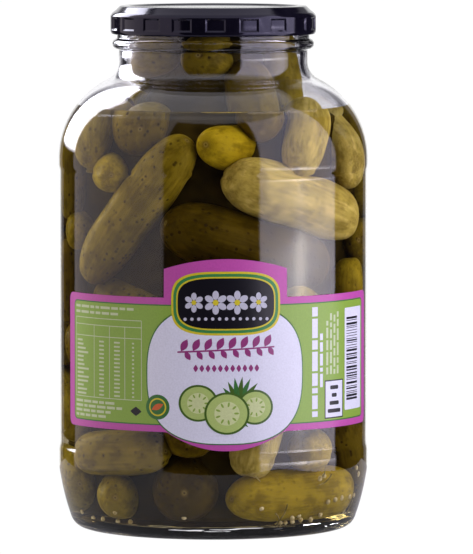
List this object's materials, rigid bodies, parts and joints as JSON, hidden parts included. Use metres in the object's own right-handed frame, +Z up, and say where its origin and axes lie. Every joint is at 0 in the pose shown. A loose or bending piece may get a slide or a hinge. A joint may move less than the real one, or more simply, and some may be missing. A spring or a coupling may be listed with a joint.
{
  "type": "pickle jar",
  "caption": "Tall clear glass jar of gherkins in brine, with a wide mouth, a black lug lid and a band label round its front.",
  "frame": {"origin": "centre of the foot ring, on the jar's axis, at the height it stands on", "axes": "+Z up along the jar's axis, -Y towards the front of the label, +X to the right as the label is looked at"},
  "size_m": [0.1284, 0.1284, 0.2167],
  "materials": {
    "clear_glass": "smooth moulded soda-lime glass",
    "lacquered_steel": "gloss black lacquer on tinplate",
    "printed_paper": "gloss coated paper",
    "gherkin_skin": "smooth wet skin"
  },
  "bodies": {
    "root": {"glass_jar": "clear_glass", "lid": "lacquered_steel", "label": "printed_paper", "gherkins": "gherkin_skin"}
  },
  "joints": []
}
